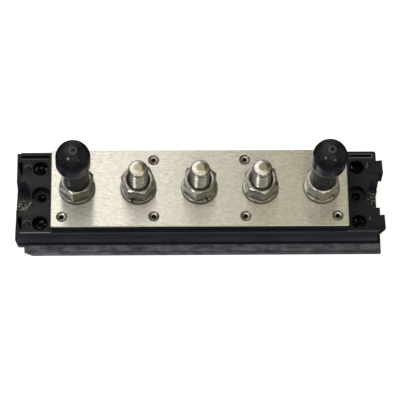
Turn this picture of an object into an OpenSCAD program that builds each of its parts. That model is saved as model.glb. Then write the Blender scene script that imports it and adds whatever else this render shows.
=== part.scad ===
// Bus bar: a flat metal conductor with a row of five threaded studs on a moulded insulating base.
// Lengths are millimetres. X runs along the row of studs, the front faces minus Y and Z is up.
// The origin is the middle of the underside.

/* [Studs] */
// Distance between the axes of neighbouring studs
stud_pitch = 28.575; // [27.5:0.025:31]
// Outside diameter of the stud thread
stud_d = 9.525; // [8.5:0.005:9.6]
// Height of the stud ends above the plate
stud_rise = 23.1; // [22.5:0.1:28]
// Height of the hex head hidden under the plate
head_h = 6.2; // [5:0.1:6.4]

/* [Nuts and washers] */
// Size across the flats of nuts and stud heads
hex_af = 14.29; // [13.8:0.01:14.6]
// Height of a nut
nut_h = 8.33; // [7:0.01:9]
// Outside diameter of a split lock washer
washer_d = 16.6; // [16:0.1:18]
// Thickness of a split lock washer
washer_t = 2.4; // [1.8:0.1:3]
// Width of the split in a lock washer
split_w = 1.1; // [0.8:0.1:1.6]

/* [Plate] */
// Width of the plate
plate_w = 39; // [38:0.5:42]
// Thickness of the plate
plate_t = 3.2; // [2.6:0.1:4]
// Distance from the outer studs to the ends of the plate
plate_end = 12.35; // [12.2:0.05:15]
// Radius of the plate corners
plate_r = 0.8; // [0.5:0.1:2]

/* [Plate screws] */
// Head diameter of the flush screws, at the groove around the head
screw_head_d = 4.6; // [4.4:0.05:5.4]
// Shank diameter of the flush screws
screw_d = 3; // [2.6:0.1:3.4]
// Length of the flush screws
screw_l = 11; // [9:0.1:11.2]
// Distance of the screws from the long edges of the plate
screw_inset = 5.1; // [4.5:0.05:6]
// Size across the flats of the screw sockets
socket_af = 2.1; // [1.8:0.1:2.4]

/* [Base] */
// Height of the end ledges
ledge_h = 17.5; // [17:0.1:20]
// Height of the plate bed above the ledges
bed_rise = 4.8; // [4.5:0.1:6]
// Length of each end ledge past the plate
ledge_l = 14.7; // [14.6:0.1:18]
// Width of the bottom flange beyond the front face
flange_w = 4.5; // [4:0.1:8]
// Thickness of the bottom flange
flange_t = 2.2; // [1.8:0.1:3]
// Thickness of the ribs under the base
rib_t = 2.4; // [1.8:0.1:3]
// Height of the hollow under the base
hollow_h = 13; // [10:0.1:13.4]

/* [Base ends] */
// Diameter of the corner mounting holes
hole_d = 5; // [4.5:0.1:5.4]
// Diameter of the corner counterbores
cbore_d = 6.8; // [6.4:0.1:7.6]
// Distance between the front and back mounting holes
hole_gap = 28; // [27.5:0.1:29]
// Diameter of the middle stepped holes
mid_hole_d = 4; // [3.6:0.1:5]
// Diameter of the step in the middle holes
mid_step_d = 8.6; // [8:0.1:9]
// Depth of the notches in the ends, from the ledge down
notch_h = 9.3; // [7:0.1:10]
// Reach of the link tabs past the right end
tab_l = 3.1; // [2.6:0.05:4]
// Width of the link tabs
tab_w = 6.7; // [5.8:0.1:7.2]

/* [Caps] */
// Diameter of the cap barrel
cap_d = 16; // [15:0.1:17]
// Diameter of the cap neck
cap_neck_d = 12; // [11.8:0.1:13]
// Height of the cap crown above the plate
cap_rise = 42.3; // [42:0.1:48]

/* [Hidden] */
$fn = 64;
// Clearances
run_gap = 0.08;
slip_gap = 0.15;
cap_gap = 0.1;
pocket_gap = 0.3;
// Levels
bed_z = ledge_h + bed_rise;
plate_z = bed_z + plate_t;
nut_z = plate_z + washer_t;
nut_top = nut_z + nut_h;
stud_top = plate_z + stud_rise;
cap_top = plate_z + cap_rise;
// Studs
half_pitch = stud_pitch / 2;
stud_r = stud_d / 2;
core_r = stud_r - 0.5;
point_h = 3.4;
hex_r = hex_af / 2 / cos(30);
nut_turns = [19, -9, 19, 40, 28];
split_turns = [200, 250, 300, 215, 320];
// Plate and screws
plate_x = 2 * stud_pitch + plate_end;
plate_y = plate_w / 2;
plate_edge = 0.35;
screw_xs = [-2.25 * stud_pitch, -0.75 * stud_pitch, 0.75 * stud_pitch, 2.25 * stud_pitch];
screw_y = plate_y - screw_inset;
screw_r = screw_d / 2;
head_r = screw_head_d / 2;
cone_h = head_r - screw_r;
groove = 0.25;
dish_h = 0.4;
// Base
body_x = plate_x + ledge_l;
body_y = plate_y - 0.5;
rail_y = body_y + 3.4;
flange_y = body_y + flange_w;
bed_x = plate_x - 0.8;
bed_y = plate_y - 1.3;
mid_drop = 1.2;
step_z = ledge_h * 0.72;
step_in = 0.6;
slot_y = body_y + 0.5;
slot_t = 1.1;
slot_h = 6;
hole_x = plate_x + 5.3;
hole_y = hole_gap / 2;
cbore_h = 5;
rim = 0.35;
mid_x = plate_x + 4.7;
mid_step_h = 3.2;
notch_z = ledge_h - notch_h;
notch_y = 7;
notch_in_y = 3.1;
notch_x = body_x - 4.95;
flare = 2.5;
hollow_front = body_y - 2.8;
hollow_back = body_y - 0.6;
end_hollow_h = notch_z - 2.4;
end_cell = body_x - 2.6 - (5 * half_pitch + rib_t / 2);
end_cell_x = (body_x - 2.6 + 5 * half_pitch + rib_t / 2) / 2;
pad_l = 0.75;
lip_l = 1.9;
strip_l = 1.85;
strip_h = ledge_h - 0.9;
tab_h = 9.5;
tab_rise = 0.35;
tab_y = 14.1;
// Caps
cap_r = cap_d / 2;
neck_r = cap_neck_d / 2;
crown_h = 7;
bulb_z = cap_top - cap_r - crown_h;
cap_bore_top = cap_top - 5.2;

// Place of stud number i along X, counted from the left
function stud_x(i) = (i - 3) * stud_pitch;

// Block given by two opposite corners
module block(a, b)
    translate(a)
        cube(b - a);

// Outline in Y and Z drawn out along X
module along_x(outline, x0, x1)
    translate([x0, 0, 0])
        rotate([90, 0, 90])
            linear_extrude(x1 - x0)
                polygon(outline);

// Outline in X and Y raised between two levels
module raised(outline, z0, z1)
    translate([0, 0, z0])
        linear_extrude(z1 - z0)
            polygon(outline);

// Copies in all four corners
module corners(x, y)
    for (sx = [-1, 1])
        for (sy = [-1, 1])
            translate([sx * x, sy * y, 0])
                children();

// Cross-section of the long block: flange with groove and bead, stepped front wall, back rail
body_outline = [
    [-flange_y, 0],
    [-flange_y, flange_t - 0.4],
    [-flange_y + 0.4, flange_t],
    [-flange_y + 1, flange_t],
    [-flange_y + 1.3, flange_t - 0.5],
    [-flange_y + 2.1, flange_t - 0.5],
    [-flange_y + 2.4, flange_t],
    [-body_y + step_in, flange_t],
    [-body_y + step_in, step_z - step_in],
    [-body_y, step_z],
    [-body_y, ledge_h - 0.4],
    [-body_y + 0.4, ledge_h],
    [rail_y - 0.4, ledge_h],
    [rail_y, ledge_h - 0.4],
    [rail_y, flange_t],
    [flange_y, flange_t],
    [flange_y, 0]
];

// Long block with its bed, end tabs, pads, strip and lips
module base_solid() {
    along_x(body_outline, -body_x, body_x);
    block([-bed_x, -bed_y, ledge_h - 2], [bed_x, bed_y, bed_z]);
    // Round nubs on the left ledge
    for (s = [-1, 1])
        translate([-body_x + 3.35, s * 14.3, ledge_h - 1.4])
            sphere(r = 2.2);
    // Abutment pads and link tabs on the right end
    for (s = [-1, 1])
        block([body_x - 1, s * 8 - 2.6, 0], [body_x + pad_l, s * 8 + 2.6, ledge_h]);
    link_tab(tab_y);
    intersection() {
        link_tab(-tab_y);
        rotate([90, 0, 0])
            linear_extrude(100, center = true)
                polygon([[0, 0], [body_x + 0.4, 0], [body_x + 0.4, ledge_h - tab_h],
                    [body_x + tab_l, ledge_h - 2.2], [body_x + tab_l, ledge_h + 1], [0, ledge_h + 1]]);
    }
    // Lip under the right end
    for (s = [-1, 1])
        block([body_x - 1, s * (flange_y + 11) / 2 - (flange_y - 11) / 2, 0],
            [body_x + lip_l, s * (flange_y + 11) / 2 + (flange_y - 11) / 2, flange_t]);
    block([body_x - 1, -12, 0], [body_x + 0.75, 12, flange_t]);
    // Strip and lip on the left end
    block([-body_x - strip_l, -body_y + 0.4, 0], [-body_x + 1, rail_y - 0.2, strip_h]);
    raised([[-body_x + 1, -body_y - 0.1], [-body_x - 1.45, -body_y - 0.1],
        [-body_x - tab_l, -body_y + 3.2], [-body_x - tab_l, -body_y + 7],
        [-body_x - strip_l - 0.1, rail_y - 1], [-body_x + 1, rail_y - 1]],
        0, flange_t);
}

// Link tab on the right end, a little wider at its tip, with a root that stands up from the ledge
module link_tab(y)
    raised([[body_x - 5, y - tab_w / 2 + 0.4], [body_x + tab_l, y - tab_w / 2],
        [body_x + tab_l - 0.3, y + tab_w / 2], [body_x - 4, y + tab_w / 2 - 0.8]],
        ledge_h - tab_h, ledge_h + tab_rise);

// Link socket in the left end, wide at the back, with a thin wall left outside it
module link_socket(y)
    raised([[-body_x + 0.9, y - 3.2], [-body_x + 0.2, y - 3.2],
        [-body_x - strip_l + 0.5, y + 2.4], [-body_x - strip_l + 0.5, y + 3.4], [-body_x + 0.9, y + 3.4]],
        ledge_h - tab_h, ledge_h + 1);

// Half-octagon notch in one end, pointing inward
module notch(s)
    raised([[s * (body_x + 6), -notch_y], [s * (notch_x + flare), -notch_y], [s * notch_x, -notch_in_y],
        [s * notch_x, notch_in_y], [s * (notch_x + flare), notch_y], [s * (body_x + 6), notch_y]],
        notch_z, ledge_h + 1);

// Round hole from the ledge down, with a small slope around its mouth
module mouth(d, depth) {
    translate([0, 0, ledge_h - depth])
        cylinder(h = depth + 1, d = d);
    translate([0, 0, ledge_h - rim])
        cylinder(h = 2 * rim, d1 = d, d2 = d + 4 * rim);
}

// Hollow cells under the base, parted by ribs
module hollows() {
    for (k = [-5 : 4])
        for (b = [[-hollow_front, -rib_t / 2], [rib_t / 2, hollow_back]])
            block([k * half_pitch + rib_t / 2, b[0], -1],
                [(k + 1) * half_pitch - rib_t / 2, b[1], hollow_h]);
    difference() {
        for (s = [-1, 1])
            block([s * end_cell_x - end_cell / 2, -hollow_front, -1],
                [s * end_cell_x + end_cell / 2, hollow_front, end_hollow_h]);
        corners(hole_x, hole_y)
            translate([0, 0, -2])
                cylinder(h = 20, d = hole_d + 4.8);
        for (s = [-1, 1])
            translate([s * mid_x, 0, -2])
                cylinder(h = 20, d = mid_hole_d + 4.8);
    }
}

// Moulded insulating base
module base()
    color("#232326")
        difference() {
            base_solid();
            // Lowered front edge between the end blocks, with slanting ends
            raised([[-plate_x - 0.75, -body_y - 1], [-plate_x - 0.75, -body_y], [-bed_x, -bed_y],
                [bed_x, -bed_y], [plate_x + 0.75, -body_y], [plate_x + 0.75, -body_y - 1]],
                ledge_h - mid_drop, ledge_h + 1);
            // Front flange stops short of the left end, with a cut corner
            raised([[-body_x - 1, -flange_y - 1], [-body_x - 1, -body_y - 0.1],
                [-body_x + 1.4, -body_y - 0.1], [-body_x + 1.4, -flange_y + 1.5],
                [-body_x + 5.1, -flange_y], [-body_x + 5.1, -flange_y - 1]], -1, flange_t + 1);
            // Rounded upright corner of the back rail
            difference() {
                block([body_x - 1.4, rail_y - 1.4, flange_t], [body_x + 1, rail_y + 0.2, ledge_h + 1]);
                translate([body_x - 1.4, rail_y - 1.4, 0])
                    cylinder(h = 60, r = 1.4);
            }
            // Slots for a cover, the left one closed only by the strip
            block([-body_x, slot_y, ledge_h - slot_h], [-plate_x - 1.25, slot_y + slot_t, ledge_h + 1]);
            block([plate_x + 2.2, slot_y, ledge_h - slot_h], [body_x - 2.1, slot_y + slot_t, ledge_h + 1]);
            // Corner holes and stepped middle holes
            corners(hole_x, hole_y) {
                translate([0, 0, -1])
                    cylinder(h = 60, d = hole_d);
                mouth(cbore_d, cbore_h);
            }
            for (s = [-1, 1])
                translate([s * mid_x, 0, 0]) {
                    translate([0, 0, -1])
                        cylinder(h = 60, d = mid_hole_d);
                    mouth(mid_step_d, mid_step_h);
                }
            // Notches and link sockets
            notch(-1);
            notch(1);
            link_socket(tab_y);
            link_socket(-tab_y);
            // Pockets that keep the stud heads from turning, and pilot holes for the screws
            for (i = [1 : 5])
                translate([stud_x(i), 0, bed_z - head_h - slip_gap])
                    cylinder(h = 20, r = hex_r + pocket_gap, $fn = 6);
            for (x = screw_xs)
                for (s = [-1, 1])
                    translate([x, s * screw_y, plate_z - screw_l - 0.3])
                        cylinder(h = 30, r = screw_r + run_gap);
            hollows();
        }

// Slope along one top edge of the plate, the edge being a given way out from the middle
module plate_slope(out, half_l)
    along_x([[-out - 1, plate_z + 1], [-out - 1, plate_z - plate_edge - 1],
        [-out + plate_edge + 1, plate_z + 1]], -half_l - 1, half_l + 1);

// Flat conductor with sloped top edges and holes for studs and screws
module bus_plate()
    color("#c9c6bd")
        difference() {
            union() {
                block([-plate_x + plate_r, -plate_y, bed_z], [plate_x - plate_r, plate_y, plate_z]);
                block([-plate_x, -plate_y + plate_r, bed_z], [plate_x, plate_y - plate_r, plate_z]);
                corners(plate_x - plate_r, plate_y - plate_r)
                    translate([0, 0, bed_z])
                        cylinder(h = plate_t, r = plate_r);
            }
            for (turn = [0, 180]) {
                rotate([0, 0, turn])
                    plate_slope(plate_y, plate_x);
                rotate([0, 0, turn + 90])
                    plate_slope(plate_x, plate_y);
            }
            for (i = [1 : 5])
                translate([stud_x(i), 0, bed_z - 1])
                    cylinder(h = plate_t + 2, r = stud_r + slip_gap);
            for (x = screw_xs)
                for (s = [-1, 1])
                    translate([x, s * screw_y, 0]) {
                        translate([0, 0, bed_z - 1])
                            cylinder(h = plate_t + 2, r = screw_r + run_gap);
                        translate([0, 0, plate_z - cone_h])
                            cylinder(h = cone_h, r1 = screw_r, r2 = head_r);
                        translate([0, 0, plate_z - groove])
                            cylinder(h = groove, r1 = head_r - groove, r2 = head_r + groove);
                    }
        }

// Threaded stud with a hex head below the plate and a slimmer thread core inside the nut
module stud(i)
    translate([stud_x(i), 0, 0]) {
        translate([0, 0, bed_z - head_h])
            cylinder(h = head_h, r = hex_r, $fn = 6);
        rotate_extrude()
            polygon([[0, bed_z - 0.5], [stud_r, bed_z - 0.5], [stud_r, nut_z], [core_r, nut_z],
                [core_r, nut_top + slip_gap], [stud_r, nut_top + slip_gap], [stud_r, stud_top - point_h],
                [stud_r - 0.26, stud_top - 2.1], [stud_r - 0.66, stud_top - 0.8],
                [stud_r - 1.3, stud_top - 0.5], [stud_r - 2.73, stud_top], [0, stud_top]]);
    }

module stud_1()
    color("#bdbbb4")
        stud(1);

module stud_2()
    color("#bdbbb4")
        stud(2);

module stud_3()
    color("#bdbbb4")
        stud(3);

module stud_4()
    color("#bdbbb4")
        stud(4);

module stud_5()
    color("#bdbbb4")
        stud(5);

// Spring washer with one slanting split
module lock_washer(i)
    translate([stud_x(i), 0, plate_z])
        difference() {
            rotate_extrude()
                polygon([[stud_r + slip_gap, 0], [washer_d / 2 - 0.25, 0], [washer_d / 2, 0.25],
                    [washer_d / 2, washer_t - 0.25], [washer_d / 2 - 0.25, washer_t],
                    [stud_r + slip_gap, washer_t]]);
            rotate([0, 0, split_turns[i - 1]])
                translate([washer_d / 2, 0, washer_t / 2])
                    rotate([20, 0, 0])
                        cube([washer_d, split_w, washer_t * 3], center = true);
        }

module lock_washer_1()
    color("#a9a79f")
        lock_washer(1);

module lock_washer_2()
    color("#a9a79f")
        lock_washer(2);

module lock_washer_3()
    color("#a9a79f")
        lock_washer(3);

module lock_washer_4()
    color("#a9a79f")
        lock_washer(4);

module lock_washer_5()
    color("#a9a79f")
        lock_washer(5);

// Hex nut with chamfered corners and a bore that is opened out at both ends
module nut(i)
    translate([stud_x(i), 0, nut_z])
        difference() {
            intersection() {
                rotate([0, 0, nut_turns[i - 1]])
                    cylinder(h = nut_h, r = hex_r, $fn = 6);
                rotate_extrude()
                    polygon([[0, 0], [hex_af * 0.475, 0],
                        [hex_r + 0.2, (hex_r + 0.2 - hex_af * 0.475) * 0.577],
                        [hex_r + 0.2, nut_h - (hex_r + 0.2 - hex_af * 0.475) * 0.577],
                        [hex_af * 0.475, nut_h], [0, nut_h]]);
            }
            rotate_extrude()
                polygon([[0, 0], [stud_r + 0.45, 0], [core_r + run_gap, 0.95 - run_gap],
                    [core_r + run_gap, nut_h - 0.95 + run_gap], [stud_r + 0.45, nut_h], [0, nut_h]]);
        }

module nut_1()
    color("#b5b3ab")
        nut(1);

module nut_2()
    color("#b5b3ab")
        nut(2);

module nut_3()
    color("#b5b3ab")
        nut(3);

module nut_4()
    color("#b5b3ab")
        nut(4);

module nut_5()
    color("#b5b3ab")
        nut(5);

// Eight flush screws with a groove around the head, a dished face and a hex socket
module plate_screws()
    color("#b8b4a6")
        for (x = screw_xs)
            for (s = [-1, 1])
                translate([x, s * screw_y, plate_z])
                    difference() {
                        rotate_extrude()
                            polygon([[0, -dish_h], [socket_af / 2, -dish_h], [head_r - 2 * groove, 0],
                                [head_r - groove, -groove], [screw_r, -cone_h], [screw_r, -screw_l + 0.6],
                                [screw_r - 0.6, -screw_l], [0, -screw_l]]);
                        translate([0, 0, -1.6])
                            cylinder(h = 3, r = socket_af / 2 / cos(30), $fn = 6);
                    }

// Soft cap: upright neck and a bulb that sits a little to one side and leans
module cap(i, aside, lean)
    translate([stud_x(i), 0, 0])
        difference() {
            union() {
                translate([0, 0, nut_top])
                    cylinder(h = bulb_z - nut_top + 1.2, r = neck_r);
                translate([aside, 0, bulb_z])
                    rotate([0, lean, 0])
                        cap_bulb();
            }
            translate([0, 0, nut_top - 3])
                cylinder(h = cap_bore_top - nut_top + 3, r = stud_r + cap_gap);
        }

// Bulb of a cap: eased foot, short barrel and a round crown with a ring left by the mould
module cap_bulb()
    rotate_extrude()
        difference() {
            union() {
                polygon([[0, 0], [cap_r - 1.3, 0], [cap_r - 0.5, 0.6], [cap_r, 2.2],
                    [cap_r, crown_h], [0, crown_h]]);
                intersection() {
                    translate([0, crown_h])
                        circle(r = cap_r);
                    translate([0, crown_h])
                        square(cap_r + 1);
                }
            }
            translate([1.2, crown_h + cap_r - 0.55])
                square([0.9, 2]);
        }

module cap_left()
    color("#1c1c1e")
        cap(1, -1.35, 1.5);

module cap_right()
    color("#1c1c1e")
        cap(5, 1.3, 2.6);

base();
bus_plate();
stud_1();
stud_2();
stud_3();
stud_4();
stud_5();
lock_washer_1();
lock_washer_2();
lock_washer_3();
lock_washer_4();
lock_washer_5();
nut_1();
nut_2();
nut_3();
nut_4();
nut_5();
plate_screws();
cap_left();
cap_right();
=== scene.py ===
# %% [markdown]
# # A five-stud bus bar, dressed in Blender
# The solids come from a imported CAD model: a black moulded base, a bright metal plate, studs, nuts,
# split washers, small flush screws and two soft caps. This lesson loads them as a fixed frame, gives
# every surface a procedural finish, and swaps the threaded hardware and the caps for finer surfaces.

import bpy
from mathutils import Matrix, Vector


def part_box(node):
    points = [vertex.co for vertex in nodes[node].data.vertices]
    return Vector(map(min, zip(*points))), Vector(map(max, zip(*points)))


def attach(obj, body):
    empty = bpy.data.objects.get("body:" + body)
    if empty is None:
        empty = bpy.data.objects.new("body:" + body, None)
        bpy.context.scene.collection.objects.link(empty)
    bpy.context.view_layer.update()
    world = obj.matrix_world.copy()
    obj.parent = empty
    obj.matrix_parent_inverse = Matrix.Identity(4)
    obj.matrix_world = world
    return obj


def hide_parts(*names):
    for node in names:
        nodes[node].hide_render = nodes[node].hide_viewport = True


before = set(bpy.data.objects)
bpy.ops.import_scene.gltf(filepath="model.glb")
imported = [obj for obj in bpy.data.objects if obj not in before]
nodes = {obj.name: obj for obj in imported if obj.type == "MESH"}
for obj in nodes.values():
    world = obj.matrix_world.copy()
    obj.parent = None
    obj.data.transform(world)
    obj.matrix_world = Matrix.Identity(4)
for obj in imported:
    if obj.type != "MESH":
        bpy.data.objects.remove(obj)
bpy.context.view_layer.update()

import math
from functools import reduce

import bpy
import numpy as np
from mathutils import Matrix

scene = bpy.context.scene
MM = 0.001

# %% [markdown]
# ## Levels that every later piece is hung on
# A new surface has to sit where the solid sits, so its sizes are read from the node boxes instead
# of being typed in again. All five studs stand on one line, so a list of X places is enough.

# %% Read the main levels
plate_under, plate_top = (corner.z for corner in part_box("bus_plate"))
nut_low, nut_high = (corner.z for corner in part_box("nut_1"))
stud_low, stud_high = (corner.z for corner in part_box("stud_3"))
cap_low, cap_high = (corner.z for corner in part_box("cap_left"))
stud_x = [0.5 * sum(corner.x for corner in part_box(f"stud_{i}")) for i in range(1, 6)]
stud_pitch = stud_x[1] - stud_x[0]
print("stud places in mm", np.round(np.array(stud_x) / MM, 3).tolist())
print("plate top in mm", round(plate_top / MM, 2))

# %% [markdown]
# ## The camera
# The photograph looks down at the front from about 66 degrees above the horizon, through a long
# lens. The place and the three angles below were worked out from the plate's corners and the row of
# studs, so the plate lands on the same pixels. A camera looks along its own -Z, so its matrix holds
# the directions right, up and back.


# %% Camera
def turned(right, up, back, place):
    """Matrix of an object at a place, whose own X, Y and Z point right, up and back."""
    return Matrix([[right[k], up[k], back[k], place[k]] for k in range(3)] + [[0, 0, 0, 1]])


yaw, pitch, roll = np.radians([-2.9075, 66.1803, 2.3818])
eye_distance = 1001.254 * MM
aim = np.array([0.1404 * MM, -6.1872 * MM, plate_top])
level_ahead = np.array([-math.sin(yaw), math.cos(yaw), 0.0])
ahead = math.cos(pitch) * level_ahead - np.array([0.0, 0.0, math.sin(pitch)])
level = np.array([math.cos(yaw), math.sin(yaw), 0.0])
lifted = np.cross(level, ahead)
right = math.cos(roll) * level + math.sin(roll) * lifted
up = math.cos(roll) * lifted - math.sin(roll) * level
place = aim - eye_distance * ahead
photo_eye = bpy.data.cameras.new("photo_eye")
photo_eye.sensor_width = 36.0
photo_eye.lens = 193.108
photo_eye.clip_start, photo_eye.clip_end = 0.05, 20.0
eye = bpy.data.objects.new("photo_eye", photo_eye)
eye.matrix_world = turned(right, up, -ahead, place)
scene.collection.objects.link(eye)
scene.camera = eye
print("camera at mm", np.round(place / MM, 1).tolist(), "lens", round(photo_eye.lens, 1))

# %% [markdown]
# ## The floor
# The part lies on a pale sheet. One large square is enough for that; it gives off a little light of
# its own, so that it stays white all round the part, as a well lit sheet does. It is hidden from
# reflections only, because the black plastic of the real part doesn't mirror a white sheet either.

# %% Floor
floor_half, floor_z = 6.0, -0.2 * MM
square = ((-1, -1), (1, -1), (1, 1), (-1, 1))
floor_corners = [(a * floor_half, b * floor_half, floor_z) for a, b in square]
floor_mesh = bpy.data.meshes.new("studio_floor")
floor_mesh.from_pydata(floor_corners, [], [(0, 1, 2, 3)])
studio_floor = bpy.data.objects.new("studio_floor", floor_mesh)
studio_floor.visible_glossy = False
scene.collection.objects.link(studio_floor)
floor_paper = bpy.data.materials.new("floor_paper")
floor_paper.use_nodes = True
paper = floor_paper.node_tree.nodes["Principled BSDF"]
paper.inputs["Base Color"].default_value = (0.62, 0.62, 0.62, 1)
paper.inputs["Roughness"].default_value = 0.9
paper.inputs["Specular IOR Level"].default_value = 0.0
paper.inputs["Emission Color"].default_value = (1, 1, 1, 1)
paper.inputs["Emission Strength"].default_value = 0.72
floor_mesh.materials.append(floor_paper)
print("floor", 2 * floor_half, "m wide")

# %% [markdown]
# ## A room to reflect
# A bright plate shows the ceiling like a mirror, so the room matters as much as the lamps. A picture
# of a room could be wrapped round the scene. Here the room is a sum of soft patches of light, each
# with a direction, a size in degrees and a colour, because then every reflection can be moved by
# itself. The ceiling is white on the left and beige on the right, which turns the plate from white
# to tan along its length.

# %% World
world = bpy.data.worlds.new("white_room")
world.use_nodes = True
scene.world = world
room = world.node_tree
outward = room.nodes.new("ShaderNodeTexCoord").outputs["Generated"]
scene.view_settings.view_transform = "Standard"
print("world", world.name)


# %% Numbers in a node tree
def maths(tree, operation, *values):
    """One Math node; each value is a number or the output of another node."""
    node = tree.nodes.new("ShaderNodeMath")
    node.operation = operation
    for socket, value in zip(node.inputs, values):
        if isinstance(value, (int, float)):
            socket.default_value = value
        else:
            tree.links.new(value, socket)
    return node.outputs["Value"]


def times(tree, *shares):
    """Product of several shares."""
    return reduce(lambda a, b: maths(tree, "MULTIPLY", a, b), shares)


def spread(tree, value, low, high, to_low, to_high, smooth=False):
    """Maps a value from the range low..high to to_low..to_high, held at both ends."""
    node = tree.nodes.new("ShaderNodeMapRange")
    if smooth:
        node.interpolation_type = "SMOOTHSTEP"
    node.inputs["From Min"].default_value, node.inputs["From Max"].default_value = low, high
    node.inputs["To Min"].default_value, node.inputs["To Max"].default_value = to_low, to_high
    tree.links.new(value, node.inputs["Value"])
    return node.outputs["Result"]


def dotted(tree, vector, way):
    """How far a vector reaches along a fixed direction."""
    node = tree.nodes.new("ShaderNodeVectorMath")
    node.operation = "DOT_PRODUCT"
    tree.links.new(vector, node.inputs[0])
    node.inputs[1].default_value = tuple(way)
    return node.outputs["Value"]


print("number helpers ready")


# %% Patches of light
def within(way, reach, edge):
    """Share of a round patch of the room: 1 up to reach degrees from a direction, 0 past edge degrees.

    The cosine of the angle is a dot product, so the limits are turned into cosines too.
    """
    facing = dotted(room, outward, np.array(way) / np.linalg.norm(way))
    edge_cos, reach_cos = (math.cos(math.radians(angle)) for angle in (edge, reach))
    return spread(room, facing, edge_cos, reach_cos, 0.0, 1.0, smooth=True)


OVERHEAD, LEFT, RIGHT = (0, 0, 1), (-1, 0, 0), (1, 0, 0)
ceiling = within(OVERHEAD, 55, 80)
to_the_back = within((0, 0.58, 0.81), 38, 66)
to_the_front = within((0, -0.35, 0.94), 25, 45)
on_the_left = times(room, ceiling, within(LEFT, 90.4, 93.2))
front_right = times(room, to_the_front, within(RIGHT, 86.8, 89.6))
back_left = times(room, ceiling, within(LEFT, 88.2, 93.2), to_the_back)
patches_of_light = {
    "grey ceiling on the left": (on_the_left, (0.13, 0.128, 0.098)),
    "beige ceiling, front right": (front_right, (0.92, 0.865, 0.60)),
    "beige ceiling, faint": (within((0.12, -0.30, 0.94), 28, 58), (0.08, 0.076, 0.055)),
    "brown ceiling, back": (within((0, 0.70, 0.71), 35, 70), (0.06, 0.04, 0.015)),
    "white ceiling, back left": (back_left, (1.37, 1.315, 1.25)),
    "light above the front": (within((0, -0.53, 0.85), 8, 14), (0.95, 0.92, 0.86)),
    "even light from above": (within(OVERHEAD, 90, 100), (0.06, 0.06, 0.055)),
    "right wall": (within((1, 0, 0.2), 25, 45), (0.38, 0.37, 0.33)),
    "left wall": (within((-1, 0, 0.2), 25, 45), (0.30, 0.30, 0.30)),
    "back wall": (within((0, 1, 0.15), 20, 38), (0.35, 0.35, 0.35)),
    "front wall": (within((-0.10, -0.93, 0.35), 20, 40), (0.30, 0.30, 0.29)),
    "bluish ground in front": (within((0, -0.40, -0.92), 35, 60), (0.13, 0.14, 0.20)),
}
print("room with", ", ".join(patches_of_light))


# %% Sum of the patches
def glow(share, colour):
    """Light of one colour from the part of the room given by a share."""
    patch = room.nodes.new("ShaderNodeBackground")
    patch.inputs["Color"].default_value = (*colour, 1)
    room.links.new(share, patch.inputs["Strength"])
    return patch.outputs["Background"]


def together(first, second):
    """Light of two parts of the room added up."""
    both = room.nodes.new("ShaderNodeAddShader")
    room.links.new(first, both.inputs[0])
    room.links.new(second, both.inputs[1])
    return both.outputs["Shader"]


room_light = reduce(together, [glow(*patch) for patch in patches_of_light.values()])
room.links.new(room_light, room.nodes["World Output"].inputs["Surface"])
print("summed", len(patches_of_light), "patches of light")

# %% [markdown]
# ## Two lamps
# Two small square lamps stand in front, left and right. They put the two bright spots on each round
# cap and the hard lights on the edges of the nuts. An area light is used because a point light would
# leave pin-sharp spots and shadows.


# %% Lamps
LAMP_DISTANCE = 1.25


def soft_lamp(name, way, size, radiance):
    """A square light in a direction from the plate, facing it; its power in watts is radiance times pi
    times its area."""
    lamp = bpy.data.lights.new(name, "AREA")
    lamp.size = size
    lamp.energy = radiance * math.pi * size * size
    back = np.array(way) / np.linalg.norm(way)
    side = np.cross([0, 0, 1], back)
    side /= np.linalg.norm(side)
    stand = LAMP_DISTANCE * back + np.array([0, 0, plate_top])
    holder = bpy.data.objects.new(name, lamp)
    holder.matrix_world = turned(side, np.cross(back, side), back, stand)
    scene.collection.objects.link(holder)


soft_lamp("lamp_left", (-0.50, -0.48, 0.72), 0.20, 24.0)
soft_lamp("lamp_right", (0.53, -0.65, 0.55), 0.12, 22.0)

# %% [markdown]
# ## Small helpers for finishes
# Each finish is a node tree on Object coordinates, so a pattern stays on its piece when the piece
# moves. One helper opens a material, the next ones each add a node or two to its tree, and the last
# one hangs the finished material on CAD solids, whose meshes stay as they came.


# %% Node helpers
def new_finish(name):
    """A material with its node tree, its surface shader and the Object coordinates."""
    finish = bpy.data.materials.new(name)
    finish.use_nodes = True
    tree = finish.node_tree
    coords = tree.nodes.new("ShaderNodeTexCoord")
    return finish, tree, tree.nodes["Principled BSDF"], coords.outputs["Object"]


def noise(tree, where, stretch, detail=4.0, rough=0.55):
    """Noise whose cells have the sizes 1/stretch along X, Y and Z; gives a value from 0 to 1."""
    mapping = tree.nodes.new("ShaderNodeMapping")
    mapping.inputs["Scale"].default_value = stretch
    tree.links.new(where, mapping.inputs["Vector"])
    cloud = tree.nodes.new("ShaderNodeTexNoise")
    cloud.inputs["Scale"].default_value = 1.0
    cloud.inputs["Detail"].default_value = detail
    cloud.inputs["Roughness"].default_value = rough
    tree.links.new(mapping.outputs["Vector"], cloud.inputs["Vector"])
    return cloud.outputs["Fac"]


def ramp(tree, value, stops):
    """Colour ramp between two (place, colour) stops, driven by a value from 0 to 1."""
    bar = tree.nodes.new("ShaderNodeValToRGB")
    tree.links.new(value, bar.inputs["Fac"])
    for mark, (at, colour) in zip(bar.color_ramp.elements, stops):
        mark.position = at
        mark.color = (*colour, 1)
    return bar.outputs["Color"]


def mix(tree, share, first, second, blend="MIX"):
    """Blends two colours, each a triple or the output of a node, by a share from 0 to 1."""
    node = tree.nodes.new("ShaderNodeMix")
    node.data_type, node.blend_type = "RGBA", blend
    if isinstance(share, float):
        node.inputs["Factor"].default_value = share
    else:
        tree.links.new(share, node.inputs["Factor"])
    for socket, source in ((node.inputs["A"], first), (node.inputs["B"], second)):
        if isinstance(source, tuple):
            socket.default_value = (*source, 1)
        else:
            tree.links.new(source, socket)
    return node.outputs["Result"]


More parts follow.
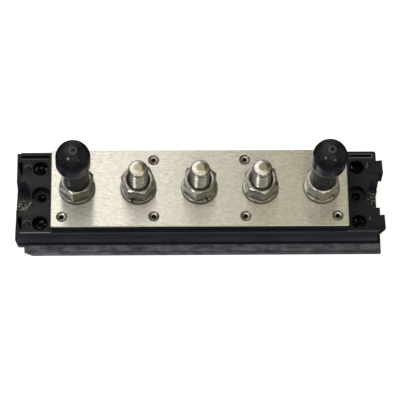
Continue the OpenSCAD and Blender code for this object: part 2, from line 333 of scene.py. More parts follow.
def bump(tree, shader, height, strength, distance):
    """Dents the shading by a height value; distance is in metres."""
    node = tree.nodes.new("ShaderNodeBump")
    node.inputs["Strength"].default_value = strength
    node.inputs["Distance"].default_value = distance
    tree.links.new(height, node.inputs["Height"])
    tree.links.new(node.outputs["Normal"], shader.inputs["Normal"])


def clothe(finish, *names):
    """Gives CAD solids a finish in place of the one that they came with."""
    for name in names:
        nodes[name].data.materials.clear()
        nodes[name].data.materials.append(finish)
    print(finish.name, "on", ", ".join(names))


print("node helpers ready")

# %% [markdown]
# ## Masks: where a finish changes
# Oil, grime, dust and wear lie in certain places, and so do painted light and shade. They could be
# painted by hand into an image, but a mask worked out from the position needs no image and no
# unwrapping. A mask is a share from 0 to 1. Folding a coordinate about a place lays mirrored features
# on one another, so that one mask serves them all. Lengths in masks are given in millimetres.


# %% Mask helpers
def axis_of(tree, vector, axis):
    """One coordinate of a vector."""
    node = tree.nodes.new("ShaderNodeSeparateXYZ")
    tree.links.new(vector, node.inputs["Vector"])
    return node.outputs[axis]


def below(tree, length, full, none):
    """Share that is 1 up to the length full and 0 from the length none on."""
    return spread(tree, length, full * MM, none * MM, 1.0, 0.0)


def above(tree, length, none, full):
    """Share that is 0 up to the length none and 1 from the length full on."""
    return spread(tree, length, none * MM, full * MM, 0.0, 1.0)


def folded(tree, length, *places):
    """Distance from a place, then the distance of that from the next place, and so on."""
    for place in places:
        length = maths(tree, "ABSOLUTE", maths(tree, "SUBTRACT", length, place * MM))
    return length


def off_axis(tree, across, along):
    """Distance from an upright axis, from the distances along X and Y."""
    point = tree.nodes.new("ShaderNodeCombineXYZ")
    tree.links.new(across, point.inputs["X"])
    tree.links.new(along, point.inputs["Y"])
    far = tree.nodes.new("ShaderNodeVectorMath")
    far.operation = "LENGTH"
    tree.links.new(point.outputs["Vector"], far.inputs[0])
    return far.outputs["Value"]


def off_stud(tree, where):
    """Distance from the axis of the nearest stud, by folding X at every half pitch."""
    across = maths(tree, "PINGPONG", axis_of(tree, where, "X"), 0.5 * stud_pitch)
    return off_axis(tree, across, axis_of(tree, where, "Y"))


def most(tree, *shares):
    """The largest of several shares."""
    return reduce(lambda a, b: maths(tree, "MAXIMUM", a, b), shares)


def upward(tree, low, high):
    """Share of surfaces that face up: 0 where the upright part of the normal is low, 1 where high."""
    facing = tree.nodes.new("ShaderNodeNewGeometry")
    return spread(tree, axis_of(tree, facing.outputs["Normal"], "Z"), low, high, 0.0, 1.0)


print("mask helpers ready")

# %% [markdown]
# ## The plate's brushed metal
# The bar was brushed along its length. Noises stretched along X draw the streaks, and a wider one the
# cloudy patches that handling leaves. Painted shade lies in the gaps round the screws and as a contact
# shadow round the washers, so its mask is the distance from their axes.


# %% Brushed plate
def plate_contact_shade(tree, where):
    """Share of painted shade: a disc in the gap round each flush screw, and a thin ring of contact
    shadow round each washer.
    """
    pitch, screw_y = stud_pitch / MM, 14.4
    across = folded(tree, axis_of(tree, where, "X"), 0, 1.5 * pitch, 0.75 * pitch)
    along = folded(tree, axis_of(tree, where, "Y"), 0, screw_y)
    discs = below(tree, off_axis(tree, across, along), 2.45, 2.75)
    rings = spread(tree, off_stud(tree, where), 8.45 * MM, 8.95 * MM, 0.75, 0.0)
    return most(tree, discs, rings)


brushed_plate, tree, shader, where = new_finish("brushed_plate")
scratches = noise(tree, where, (60, 5200, 5200), detail=5)
streaks = noise(tree, where, (420, 1500, 1500), detail=3, rough=0.6)
patches = noise(tree, where, (420, 700, 700), detail=5, rough=0.65)
tone = ramp(tree, streaks, [(0.32, (0.62, 0.61, 0.585)), (0.68, (0.82, 0.81, 0.78))])
cloud = ramp(tree, patches, [(0.34, (0.84, 0.84, 0.83)), (0.66, (1.0, 1.0, 1.0))])
clouded = mix(tree, 1.0, tone, cloud, blend="MULTIPLY")
# painted contact shadow round the washers and painted shade in the gaps round the screws
with_contact_shade = mix(tree, plate_contact_shade(tree, where), clouded, (0.10, 0.095, 0.085))
# painted shade on the faces of the plate that do not look up
with_painted_shade_on_sides = mix(tree, upward(tree, 0.3, 0.6), (0.03, 0.03, 0.033), with_contact_shade)
tree.links.new(with_painted_shade_on_sides, shader.inputs["Base Color"])
shader.inputs["Metallic"].default_value = 1.0
tree.links.new(spread(tree, scratches, 0.2, 0.8, 0.26, 0.30), shader.inputs["Roughness"])
bump(tree, shader, scratches, 0.3, 0.01 * MM)
clothe(brushed_plate, "bus_plate")

# %% [markdown]
# ## Which way the brushing runs
# Fine grooves smear a reflection across themselves. Bump would need grooves finer than a pixel for
# that, so the shader's own anisotropy does it. Its tangent is the normal crossed with the length of
# the bar, which needs no unwrapping.

# %% Anisotropy
shader.inputs["Anisotropic"].default_value = 1.0
facing = tree.nodes.new("ShaderNodeNewGeometry")
across_the_bar = tree.nodes.new("ShaderNodeVectorMath")
across_the_bar.operation = "CROSS_PRODUCT"
tree.links.new(facing.outputs["Normal"], across_the_bar.inputs[0])
across_the_bar.inputs[1].default_value = (1, 0, 0)
tree.links.new(across_the_bar.outputs["Vector"], shader.inputs["Tangent"])
print("brushing runs along X")

# %% [markdown]
# ## Bright steel for the studs
# The pointed end of a stud is clean and bright, the flat in its middle is a little brown, and the
# thread below it is darker, from oil and from painted shade between its turns. Height and the
# distance from the stud's axis tell the three apart. Faint tool marks run round the axis, so their
# noise is fine in Z.

# %% Bright steel
bright_steel, tree, shader, where = new_finish("bright_steel")
film = noise(tree, where, (700, 700, 700))
turning = noise(tree, where, (300, 300, 2600), detail=3)
clean = ramp(tree, film, [(0.30, (0.47, 0.455, 0.41)), (0.65, (0.66, 0.645, 0.60))])
oily_and_shaded = ramp(tree, film, [(0.30, (0.20, 0.19, 0.17)), (0.65, (0.34, 0.325, 0.29))])
end_z = stud_high / MM
flank = below(tree, axis_of(tree, where, "Z"), end_z - 0.72, end_z - 0.58)
middle = below(tree, off_stud(tree, where), 1.2, 2.6)
ends = mix(tree, middle, clean, (0.42, 0.37, 0.27))
# the thread below the end is darker: oil and painted shade between the turns
tree.links.new(mix(tree, flank, ends, oily_and_shaded), shader.inputs["Base Color"])
shader.inputs["Metallic"].default_value = 1.0
tree.links.new(spread(tree, flank, 0.0, 1.0, 0.22, 0.28), shader.inputs["Roughness"])
bump(tree, shader, turning, 0.08, 0.02 * MM)
print("stud finish ready")

# %% [markdown]
# ## Plated steel for nuts and washers
# The nuts and spring washers are plated and read darker than the studs. A painted light makes those
# on the right lighter than those on the left, so a shaded pair of colours and a lit pair are blended
# along the row. Faces that look up get the paler colours and the flats the duller ones, so the way a
# face points chooses between them.

# %% Plated steel
plated_steel, tree, shader, where = new_finish("plated_steel")
blotch = noise(tree, where, (500, 500, 700))
marks = noise(tree, where, (300, 300, 2400), detail=3)
flats_painted_shade = ramp(tree, blotch, [(0.30, (0.050, 0.049, 0.041)), (0.70, (0.115, 0.112, 0.094))])
flats_painted_light = ramp(tree, blotch, [(0.30, (0.135, 0.126, 0.112)), (0.70, (0.26, 0.245, 0.22))])
tops_painted_shade = ramp(tree, blotch, [(0.30, (0.16, 0.156, 0.14)), (0.70, (0.38, 0.37, 0.34))])
tops_painted_light = ramp(tree, blotch, [(0.30, (0.28, 0.27, 0.245)), (0.70, (0.52, 0.505, 0.465))])
# painted light: the nuts are coloured lighter from left to right
painted_light_along_row = spread(tree, axis_of(tree, where, "X"), stud_x[0], stud_x[4], 0.0, 1.0)
flats_along_row = mix(tree, painted_light_along_row, flats_painted_shade, flats_painted_light)
tops_along_row = mix(tree, painted_light_along_row, tops_painted_shade, tops_painted_light)
tree.links.new(mix(tree, upward(tree, 0.45, 0.85), flats_along_row, tops_along_row), shader.inputs["Base Color"])
shader.inputs["Metallic"].default_value = 1.0
tree.links.new(spread(tree, marks, 0.25, 0.75, 0.18, 0.30), shader.inputs["Roughness"])
bump(tree, shader, marks, 0.08, 0.02 * MM)
clothe(plated_steel, *[f"{kind}_{i}" for kind in ("lock_washer", "nut") for i in range(1, 6)])

# %% [markdown]
# ## Duller steel for the flush screws
# The small screws look darker than the plate: their dished faces hold old oil. A mask on the height
# paints shade into the sockets, and a coarse noise leaves the faces uneven.

# %% Screws
oily_steel_and_shade, tree, shader, where = new_finish("oily_steel_and_shade")
film = noise(tree, where, (900, 900, 900))
face = ramp(tree, film, [(0.30, (0.30, 0.285, 0.25)), (0.70, (0.52, 0.50, 0.45))])
face_z = plate_top / MM
painted_socket_shade = below(tree, axis_of(tree, where, "Z"), face_z - 0.50, face_z - 0.38)
# painted shade in the sockets
tree.links.new(mix(tree, painted_socket_shade, face, (0.02, 0.017, 0.015)), shader.inputs["Base Color"])
shader.inputs["Metallic"].default_value = 1.0
tree.links.new(spread(tree, film, 0.3, 0.7, 0.24, 0.40), shader.inputs["Roughness"])
clothe(oily_steel_and_shade, "plate_screws")

# %% [markdown]
# ## Moulded black plastic: painted light and dust
# The base is satin black. Its front wall gets a painted light, strongest half way down, and the wide
# bottom flange holds dust, so it reads as dark grey. The colour is built like paint: a list of coats,
# each with a mask that says where it lies. Masks on height and depth suit a moulding, whose faces are
# nearly all square to the axes.

# %% Painted light and dust
moulded_black, tree, shader, where = new_finish("moulded_black")
x, y, z = (axis_of(tree, where, axis) for axis in "XYZ")
end_x, half_y = folded(tree, x, 0), folded(tree, y, 0)
front_y, ledge_z, bloom_z, groove_z = -18.2, 17.0, 6.4, 3.7
flange_y, flange_z, bead_y = -19.4, 2.1, -22.6
streaks = noise(tree, where, (45, 160, 420))
mottle = noise(tree, where, (190, 420, 420), detail=3)
black = ramp(tree, streaks, [(0.30, (0.0035, 0.004, 0.0055)), (0.75, (0.010, 0.0108, 0.013))])
painted_light = ramp(tree, streaks, [(0.35, (0.008, 0.008, 0.013)), (0.65, (0.020, 0.0195, 0.028))])
mid_painted_light = ramp(tree, streaks, [(0.35, (0.018, 0.019, 0.029)), (0.65, (0.042, 0.043, 0.058))])
dust = ramp(tree, mottle, [(0.32, (0.055, 0.063, 0.085)), (0.68, (0.195, 0.205, 0.245))])
in_front = below(tree, y, front_y, front_y + 0.2)
front_wall = times(tree, in_front, below(tree, z, ledge_z - 0.1, ledge_z + 0.1))
half_down = below(tree, folded(tree, z, bloom_z), 1.0, 4.2)
groove = times(tree, in_front, below(tree, z, groove_z, groove_z + 0.5))
flange = times(tree, below(tree, z, flange_z, flange_z + 0.7), below(tree, y, flange_y, flange_y + 0.7))
cleaner_right = spread(tree, x, -90 * MM, 90 * MM, 0.1, 0.9)
bead = times(tree, below(tree, y, bead_y, bead_y + 0.2), cleaner_right)
coats = [
    # painted light on the front wall, strongest half way down
    (front_wall, mix(tree, half_down, painted_light, mid_painted_light)),
    (groove, (0.010, 0.010, 0.013)),
    (flange, mix(tree, bead, dust, (0.045, 0.046, 0.052))),
]
print("base: haze, the dark groove and dust make", len(coats), "coats")

# %% [markdown]
# ## The base: notches and holes
# The cut walls of the end notches get a faint violet painted light, and pale specks lie on their
# floor. The holes go down so far that hardly any light comes back out of them, apart from a few
# painted glints on the step inside. A hole could be darkened by its real shadow alone, but a coat of
# near black is cleaner at this size.

# %% Notches and holes
notch_x, notch_z, notch_half, notch_mid_z = 79.0, 8.2, 7.1, 12.8
hole_x, hole_y, hole_r, middle_x, middle_r, step_z = 74.8, 14.0, 3.5, 74.2, 2.1, 12.6
flecks = noise(tree, where, (1100, 1100, 1100), detail=2)
sparks = noise(tree, where, (640, 640, 640), detail=1)
cut_side = times(tree, above(tree, end_x, notch_x, notch_x + 0.15),
                 below(tree, half_y, notch_half, notch_half + 0.1))
cut_wall = times(tree, cut_side, below(tree, folded(tree, z, notch_mid_z), 4.2, 4.3))
on_floor = times(tree, below(tree, z, notch_z + 0.1, notch_z + 0.6),
                 above(tree, z, notch_z - 0.3, notch_z - 0.1))
in_notch = times(tree, on_floor, above(tree, end_x, notch_x, notch_x + 0.5))
fore_part = below(tree, folded(tree, y, -2.4), 2.6, 5.2)
right_part = times(tree, below(tree, half_y, 3.6, 6.6), above(tree, x, 0, 1))
marked = most(tree, fore_part, right_part)
specks = times(tree, in_notch, marked, spread(tree, flecks, 0.50, 0.60, 0.0, 1.0))
off_corner_hole = off_axis(tree, folded(tree, x, 0, hole_x), folded(tree, y, 0, hole_y))
off_middle_hole = off_axis(tree, folded(tree, x, 0, middle_x), y)
drilled = most(tree, below(tree, off_corner_hole, hole_r, hole_r + 0.1),
               below(tree, off_middle_hole, middle_r, middle_r + 0.1))
in_hole = times(tree, drilled, below(tree, z, ledge_z, ledge_z + 0.15))
on_step = times(tree, in_hole, above(tree, z, 0.5, 1.0), below(tree, z, step_z, step_z + 0.3))
glints = times(tree, on_step, spread(tree, sparks, 0.57, 0.61, 0.0, 1.0))
coats += [
    # painted violet light on the cut walls, painted shade in the holes, painted glints on their step
    (cut_wall, (0.018, 0.017, 0.034)),
    (specks, (0.22, 0.22, 0.20)),
    (in_hole, (0.002, 0.002, 0.002)),
    (glints, (0.30, 0.30, 0.29)),
]
print("base: with notches and holes", len(coats), "coats")

# %% [markdown]
# ## The base: painted highlights on edges
# Edges that catch the lamps are painted pale, most of all towards the left, on the side of the left
# lamp, and the top of the left end block gets a little painted light. Where each edge lies is known
# from the sizes of the solid, so a narrow mask along it is simpler than measuring curvature, and stays
# crisp. A stroke is such a mask along any straight line seen from above.


# %% Painted edge highlights
def stroke(start, end, half):
    """Share of a straight line on the base, from start to end in X and Y, half its width to each side:
    the distance across the line and the distance from its middle are both limited."""
    fade = 0.08
    start, end = np.array(start), np.array(end)
    length = np.linalg.norm(end - start)
    along = (end - start) / length
    across = np.array([-along[1], along[0]])
    limits = ((across, start @ across, half), (along, (start + end) @ along / 2, length / 2))
    return times(tree, *[
        below(tree, folded(tree, dotted(tree, where, (*way, 0)), middle), limit - fade, limit + fade)
        for way, middle, limit in limits
    ])


def nub_arc(nub_y):
    """Share of the back half of a nub's round shoulder, where a highlight is painted."""
    nub_x, shoulder_r = -80.85, 1.55
    off_nub = off_axis(tree, folded(tree, x, nub_x), folded(tree, y, nub_y))
    shoulder = below(tree, folded(tree, off_nub, shoulder_r), 0.3, 0.45)
    return times(tree, shoulder, above(tree, y, nub_y - 0.2, nub_y + 0.6))


print("stroke and arc ready")

# %% Coats of painted highlight on the edges
pocket_r, slot_y, slot_back_y = 4.5, 18.85, 20.75
high = above(tree, z, ledge_z, ledge_z + 0.15)
left_ledge = times(tree, high, below(tree, x, -70.6, -70.2))
between_holes = below(tree, folded(tree, y, 0, 7.6), 1.2, 4.0)
pocket_rim = times(tree, below(tree, folded(tree, off_middle_hole, pocket_r), 0.18, 0.32),
                   below(tree, y, -3.2, -1.6))
front_rim = times(tree, high, below(tree, y, -18.75, -18.55))
lamplit = spread(tree, x, -95 * MM, 60 * MM, 1.0, 0.25)
mid_rim = times(tree, above(tree, z, 16.15, 16.25), below(tree, y, -18.65, -18.45),
                below(tree, end_x, 70.0, 70.3))
left_slot = stroke((-84.2, slot_y), (-70.7, slot_y), 0.30)
right_slot = most(tree, stroke((71.3, slot_y), (82.5, slot_y), 0.30),
                  stroke((71.3, slot_back_y), (82.5, slot_back_y), 0.30),
                  stroke((82.45, slot_y), (82.45, slot_back_y), 0.28))
tab_roots = most(tree, stroke((79.60, 13.30), (80.17, 16.50), 0.24),
                 stroke((79.85, -13.50), (80.20, -11.60), 0.24))
notch_edge = most(tree, stroke((-81.67, -7.35), (-78.95, -3.10), 0.35),
                  stroke((-84.30, -7.25), (-81.45, -7.25), 0.27))
# painted highlights on edges, rims, slots, tab roots, notch and nubs; painted light on the left ledge
coats += [
    (times(tree, left_ledge, between_holes), (0.018, 0.0185, 0.020)),
    (times(tree, left_ledge, pocket_rim), (0.060, 0.060, 0.060)),
    (times(tree, front_rim, lamplit), (0.20, 0.20, 0.20)),
    (mid_rim, (0.075, 0.078, 0.082)),
    (times(tree, left_slot, high), (0.036, 0.036, 0.038)),
    (times(tree, right_slot, high), (0.085, 0.085, 0.088)),
    (times(tree, tab_roots, high), (0.11, 0.11, 0.105)),
    (times(tree, notch_edge, high), (0.16, 0.16, 0.145)),
    (times(tree, most(tree, nub_arc(14.3), nub_arc(-14.3)), high), (0.075, 0.074, 0.070)),
]
print("base: with worn edges", len(coats), "coats")

# %% [markdown]
# ## The base: laying the coats
# The coats are blended one over another, in the order of the list. Streaks also vary the roughness,
# and the holes and the wall under the plate lose most of their shine, because nothing bright stands
# where they could mirror it. A fine grain from the mould dents the surface very slightly.

# %% Base finish
colour = black
for share, coat in coats:
    colour = mix(tree, share, colour, coat)
tree.links.new(colour, shader.inputs["Base Color"])
tree.links.new(spread(tree, streaks, 0.25, 0.75, 0.30, 0.46), shader.inputs["Roughness"])
bed_front = times(tree, below(tree, y, -18.1, -18.0), above(tree, z, 17.7, 17.9))
hidden = most(tree, in_hole, bed_front)
tree.links.new(spread(tree, hidden, 0.0, 1.0, 0.20, 0.02), shader.inputs["Specular IOR Level"])
shader.inputs["Specular Tint"].default_value = (0.90, 0.95, 1.0, 1)
bump(tree, shader, noise(tree, where, (1600, 1600, 1600), detail=3), 0.12, 0.05 * MM)
clothe(moulded_black, "base")

# %% [markdown]
# ## Dipped vinyl for the caps
# The caps are dipped vinyl: deeper black than the base, with a soft shine. A slow noise keeps the
# shine from being even, as on a hand-pulled dip moulding, and the neck is duller than the bulb. The
# ring that the mould left in the crown gets a pale painted highlight; the cap's own points carry a
# mark for it.

# %% Dipped vinyl
dipped_vinyl, tree, shader, where = new_finish("dipped_vinyl")
swirl = noise(tree, where, (180, 180, 90), detail=3)
pimples = noise(tree, where, (420, 420, 420), detail=2)
soft_black = ramp(tree, swirl, [(0.3, (0.004, 0.004, 0.006)), (0.7, (0.010, 0.010, 0.012))])
# the crown is made paler where it faces up
paler_facing_up = mix(tree, upward(tree, 0.45, 1.0), soft_black, (0.010, 0.010, 0.012))
ring_mark = tree.nodes.new("ShaderNodeAttribute")
ring_mark.attribute_name = "mould_ring"
# painted pale highlight on the mould ring
with_ring_highlight = mix(tree, ring_mark.outputs["Fac"], paler_facing_up, (0.09, 0.09, 0.08))
tree.links.new(with_ring_highlight, shader.inputs["Base Color"])
tree.links.new(spread(tree, swirl, 0.3, 0.7, 0.15, 0.27), shader.inputs["Roughness"])
neck_top, bulb_foot = cap_low + 13 * MM, cap_low + 17 * MM
shine = spread(tree, axis_of(tree, where, "Z"), neck_top, bulb_foot, 0.04, 0.22)
tree.links.new(shine, shader.inputs["Specular IOR Level"])
shader.inputs["Specular Tint"].default_value = (0.84, 0.89, 1.0, 1)
bump(tree, shader, pimples, 0.35, 0.3 * MM)
clothe(dipped_vinyl, "cap_left", "cap_right")

# %% [markdown]
# ## From a grid of points to a mesh
# Every finer piece below is a grid: rows run along the piece, columns run round it. One function
# turns such a grid into quads. Rows can also close on themselves, as the section of a ring does, or
# end in a fan of triangles round one last point.


# %% Grid to mesh
def grid_piece(name, points, ring=False, tips=()):
    """Mesh from points[row, column, xyz] in metres, columns closed round.

    Quad (r, c) joins rows r and r+1 and columns c and c+1. With ring the last row joins the first.
    tips holds two points, (first, last): each gets a fan of triangles to its row. The volume inside
    is the sum of the triple products of all triangles over six; if it is negative, faces turn round.
    """
    rows, cols = points.shape[:2]
    index = np.arange(rows * cols).reshape(rows, cols)
    wrapped = np.hstack([index, index[:, :1]])
    if ring:
        wrapped = np.vstack([wrapped, wrapped[:1]])
    a, b, c, d = wrapped[:-1, :-1], wrapped[:-1, 1:], wrapped[1:, 1:], wrapped[1:, :-1]
    quads = np.stack([a, b, c, d], -1).reshape(-1, 4)
    corners = points.reshape(-1, 3)
    fans = []
    for edge, tip, forward in zip((wrapped[0], wrapped[-1]), tips, (False, True)):
        pair = (edge[:-1], edge[1:]) if forward else (edge[1:], edge[:-1])
        fans.append(np.stack([*pair, np.full(cols, len(corners))], -1))
        corners = np.vstack([corners, tip])
    triangles = np.vstack([quads[:, [0, 1, 2]], quads[:, [0, 2, 3]], *fans])
    p, q, r = (corners[triangles[:, k]] for k in range(3))
    volume = np.einsum("ij,ij->", p, np.cross(q, r)) / 6
    turn = -1 if volume < 0 else 1
    faces = quads[:, ::turn].tolist() + [face for fan in fans for face in fan[:, ::turn].tolist()]
    mesh = bpy.data.meshes.new(name)
    mesh.from_pydata(corners.tolist(), [], faces)
    mesh.polygons.foreach_set("use_smooth", np.ones(len(mesh.polygons), bool))
    mesh.update()
    piece = bpy.data.objects.new(name, mesh)
    scene.collection.objects.link(piece)
    print(name, "faces", len(mesh.polygons), "volume in mm3", round(abs(volume) / MM**3, 1))
    return piece


def whole_turn(columns):
    """Angles of so many columns, evenly round the axis."""
    return np.linspace(0, 2 * math.pi, columns, endpoint=False)


print("grid helpers ready")

# %% [markdown]
# ## Studs with a real thread
# A stud is a hex head under the plate, a thread, and a pointed end. Written in polar form the whole
# piece is one radius over angle and height. The thread is a wave of height minus angle: one turn
# round moves the wave up by one pitch, which is all that a helix is.


# %% Threaded studs
HEX_FLAT = 14.29 / 2 * MM


def round_hexagon(angle, flat, sharp=70.0):
    """Radius of a hexagon with softened corners: flat over the p-norm of the six facing cosines."""
    facing = np.cos(angle[:, None] - np.radians(60.0 * np.arange(6) + 30.0))
    return flat / (np.clip(facing, 0, None)**sharp).sum(-1)**(1 / sharp)


def threaded_stud(name, x):
    """Radius over (height, angle): hexagon below, thread wave above, cut by the cones of the point.

    Thread wave: away is the distance from the nearest crest in half pitches; the flank falls in a
    straight line from a flat crest to a rounded root. The point is the smaller of thread and cones.
    """
    pitch, crest_r, depth, rows_a_turn = 1.5875 * MM, 4.75 * MM, 0.80 * MM, 14
    flat_crest, flank = 0.14, 0.72
    angle = whole_turn(120)
    hexagon = round_hexagon(angle, HEX_FLAT)
    head_z = np.array([stud_low, stud_low + 0.3 * MM, plate_under - 0.3 * MM, plate_under, plate_under])
    shank_r = 0 * angle + crest_r - depth
    head_r = np.stack([hexagon - 0.5 * MM, hexagon, hexagon, hexagon - 0.3 * MM, shank_r])
    z = np.linspace(plate_under, stud_high, int((stud_high - plate_under) / pitch * rows_a_turn))
    phase = (z[:, None] / pitch - angle[None, :] / (2 * math.pi)) % 1.0
    away = np.abs(phase - 0.5) * 2.0
    wave = np.clip((away - flat_crest) / flank, 0, 1)
    thread = crest_r - depth * (0.75 * wave + 0.25 * wave * wave * (3 - 2 * wave))
    under_end = [0, 0.5, 0.8, 2.1, 3.4, 60]
    cone_r = [2.03, 3.46, 4.1, 4.5, 4.75, 4.75]
    point = np.interp((stud_high - z) / MM, under_end, cone_r) * MM
    flat_end = np.array([1.7, 1.0]) * MM
    radius = np.vstack([head_r, np.minimum(thread, point[:, None]), flat_end[:, None] + 0 * angle])
    height = np.concatenate([head_z, z, 0 * flat_end + stud_high])[:, None] + 0 * radius
    grid = np.stack([x + radius * np.cos(angle), radius * np.sin(angle), height], -1)
    return grid_piece(name, grid, tips=[(x, 0, stud_low), (x, 0, stud_high)])


for i, x in enumerate(stud_x, 1):
    stud = threaded_stud(f"thread_{i}", x)
    stud.data.materials.append(bright_steel)
    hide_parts(f"stud_{i}")
    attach(stud, "block")

# %% [markdown]
# ## Hex nuts
# A nut is a ring whose outside is a hexagon and whose corners were turned off at thirty degrees on
# both ends, which leaves a curved edge on each flat. Its section changes only in how far out the
# wall stands, so one closed section per angle gives the whole nut, bore and countersinks included.
# No real edge is perfectly sharp, and it is the rounding that catches the light, so the corners of
# the section are eased first.


# %% Nuts
def eased(section, ease, steps=4):
    """Rounds each corner of a closed section[corner, column, 2].

    From the point at ease before a corner to the point at ease after it runs the quadratic curve
    that has the corner as its handle.
    """
    def towards(other):
        gap = other - section
        far = np.linalg.norm(gap, axis=-1, keepdims=True)
        return section + gap * np.minimum(ease / far, 0.45)

    before, after = towards(np.roll(section, 1, 0)), towards(np.roll(section, -1, 0))
    t = np.linspace(0, 1, steps)[None, :, None, None]
    curve = (1 - t)**2 * before[:, None] + 2 * t * (1 - t) * section[:, None] + t**2 * after[:, None]
    return curve.reshape(-1, *section.shape[1:])


def hex_nut(name, x, turn):
    """Closed section over angle: bore, countersink, end face, chamfer cone, hexagon wall, and back.

    The chamfer falls by tan 30 degrees times the distance past the end face's rim.
    """
    angle = whole_turn(240)
    bore, mouth, rim, sink = 4.86 * MM, 5.4 * MM, 0.95 * HEX_FLAT, 0.6 * MM
    wall = round_hexagon(angle - math.radians(turn), HEX_FLAT)
    fall = (wall - rim) * math.tan(math.radians(30))
    out = [bore, bore, mouth, rim, wall, wall, rim, mouth]
    level = [nut_low + sink, nut_high - sink, nut_high, nut_high, nut_high - fall,
             nut_low + fall, nut_low, nut_low]
    section = np.stack([np.stack([value + 0 * angle for value in side]) for side in (out, level)], -1)
    section = eased(section, 0.18 * MM)
    radius, z = section[..., 0], section[..., 1]
    grid = np.stack([x + radius * np.cos(angle), radius * np.sin(angle), z], -1)
    return grid_piece(name, grid, ring=True)


nut_turns = [19.0, -9.0, 19.0, 40.0, 28.0]
for i, (x, turn) in enumerate(zip(stud_x, nut_turns), 1):
    nut = hex_nut(f"hex_nut_{i}", x, turn)
    nut.data.materials.append(plated_steel)
    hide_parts(f"nut_{i}")
    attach(nut, f"nut_{i}")

# %% [markdown]
# ## Split lock washers
# A lock washer is a square wire bent into one turn, so it is a rounded section carried along an arc
# that stops short of a full circle. The two cut ends lean, which is done by letting the start angle
# depend on the height in the section.


# %% Lock washers
def lock_washer(name, x, split):
    """Rounded rectangle carried round the axis from just after the split to just before it.

    The cut leans by tan 20 degrees of the height, and its half width over the radius is the angle
    that is left out at each end.
    """
    inner, outer, half_gap = 4.95 * MM, 8.3 * MM, 0.40 * MM
    low, high = plate_top, nut_low
    box = np.array([[inner, low], [outer, low], [outer, high], [inner, high]])
    section = eased(box[:, None, :], 0.28 * MM, 5)[:, 0]
    radius, z = section[:, 0], section[:, 1]
    half = half_gap / radius
    lean = math.tan(math.radians(20)) * (z - 0.5 * (low + high)) / radius
    u = np.linspace(0, 1, 150)[:, None]
    angle = math.radians(split) + half - lean + u * (2 * math.pi - 2 * half)
    grid = np.stack([x + radius * np.cos(angle), radius * np.sin(angle), z + 0 * angle], -1)
    return grid_piece(name, grid, tips=[grid[0].mean(0), grid[-1].mean(0)])


split_turns = [200, 250, 300, 215, 320]
for i, (x, split) in enumerate(zip(stud_x, split_turns), 1):
    washer = lock_washer(f"split_washer_{i}", x, split)
    washer.data.materials.append(plated_steel)
    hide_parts(f"lock_washer_{i}")
    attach(washer, "block")

# %% [markdown]
# ## The profile of a soft cap
# A dipped cap has no sharp corners: a plain neck, then a short ball-headed bulb, all flowing into
# each other. A chain of points up the inside and up the outside, turned about the stud, gives such a
# shape more simply than joined solids would.

# %% Cap profile
cap_bore, cap_neck, cap_barrel = 4.88 * MM, 6.0 * MM, 8.0 * MM
bulb_low, bore_top, dome_z = cap_high - 15.0 * MM, cap_high - 5.2 * MM, cap_high - cap_barrel


def cap_profile():
    """Points (radius, height) up the bore, over the rim, and up the outside, and how many are inside.

    Neck and barrel are straight, the crown is a quarter circle, and the corners at the bulb's foot are
    softened by averaging the radius over a short height.
    """
    inside = np.array([[0.6 * MM, bore_top], [cap_bore - 1.0 * MM, bore_top],
                       [cap_bore, bore_top - 1.0 * MM], [cap_bore, cap_low + 0.3 * MM],
                       [cap_bore + 0.3 * MM, cap_low], [cap_neck - 0.35 * MM, cap_low]])
    foot = (bulb_low - cap_low) / MM
    up = np.concatenate([np.linspace(0.35, foot - 3.2, 26), np.linspace(foot - 3.0, foot + 3.0, 46),
                         np.linspace(foot + 3.4, foot + 7.0, 8)])
    corner_up = [0, foot - 1.8, foot - 0.6, foot + 0.9, 60]
    corner_r = [cap_neck, cap_neck, 7.4 * MM, cap_barrel, cap_barrel]
    shifts = np.linspace(-0.4, 0.4, 9)
    shape = sum(np.interp(up + shift, corner_up, corner_r) for shift in shifts) / len(shifts)
    t = np.linspace(0, math.pi / 2, 48)[1:-1]
    crown = np.stack([cap_barrel * np.cos(t), dome_z + cap_barrel * np.sin(t)], -1)
    return np.vstack([inside, np.stack([shape, cap_low + up * MM], -1), crown]), len(inside)


print("cap profile of", len(cap_profile()[0]), "points")

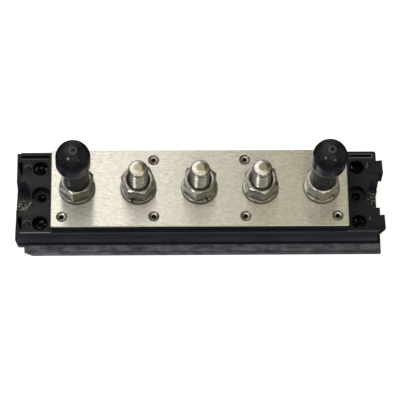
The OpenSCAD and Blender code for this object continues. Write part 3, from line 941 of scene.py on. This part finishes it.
# %% [markdown]
# ## Soft caps
# Soft caps never sit quite straight, so the bulb is moved and turned a little once the profile has
# been turned about the stud. Faint upright flutes on the neck are a wave in the radius. The ring that
# the mould left in the crown is a dent, and an attribute on the points marks it, so that the finish
# can paint a pale highlight on it.


# %% Caps
def soft_cap(name, x, aside, lean):
    """Profile over angle, then the bulb set off.

    Flutes are a cosine wave of the angle on the neck, the mould ring is a bell curve of the radius.
    Points above the neck are moved aside by millimetres and turned about the foot by the lean in
    degrees, with a smooth ramp, while the bore stays upright on the stud.
    """
    flutes, flute_depth, ring_r, ring_width, ring_depth = 22, 0.05 * MM, 1.55 * MM, 0.34 * MM, 0.25 * MM
    angle = whole_turn(144)
    profile, inside = cap_profile()
    skin = (np.arange(len(profile)) >= inside)[:, None]
    r, z = profile[:, :1], profile[:, 1:]
    on_neck = np.clip((bulb_low - 2.5 * MM - z) / (1.0 * MM), 0, 1) * skin
    radius = r + on_neck * flute_depth * (np.cos(flutes * angle) - 1)
    ring = np.exp(-((r - ring_r) / ring_width)**2) * (z > dome_z)
    height = z - ring_depth * ring + 0 * radius
    east, north = radius * np.cos(angle), radius * np.sin(angle)
    above_foot = height - bulb_low
    rise = np.clip((above_foot / MM + 2.6) / 3.2, 0, 1)
    share = skin * rise * rise * (3 - 2 * rise)
    turn = math.radians(lean) * share
    east, above_foot = (east * np.cos(turn) + above_foot * np.sin(turn) + aside * MM * share,
                        above_foot * np.cos(turn) - east * np.sin(turn))
    grid = np.stack([x + east, north, bulb_low + above_foot], -1)
    tall = cap_high - bulb_low
    tip = (x + aside * MM + tall * math.sin(math.radians(lean)), 0,
           bulb_low + tall * math.cos(math.radians(lean)))
    cap = grid_piece(name, grid, tips=[(x, 0, bore_top), tip])
    mark = np.concatenate([(ring + 0 * radius).ravel(), [0.0, 0.0]])
    cap.data.attributes.new("mould_ring", "FLOAT", "POINT").data.foreach_set("value", mark)
    return cap


for name, x, aside, lean in (("cap_left", stud_x[0], -0.95, 1.5), ("cap_right", stud_x[4], 1.3, 2.6)):
    cap = soft_cap("soft_" + name, x, aside, lean)
    cap.data.materials.append(dipped_vinyl)
    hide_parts(name)
    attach(cap, name)
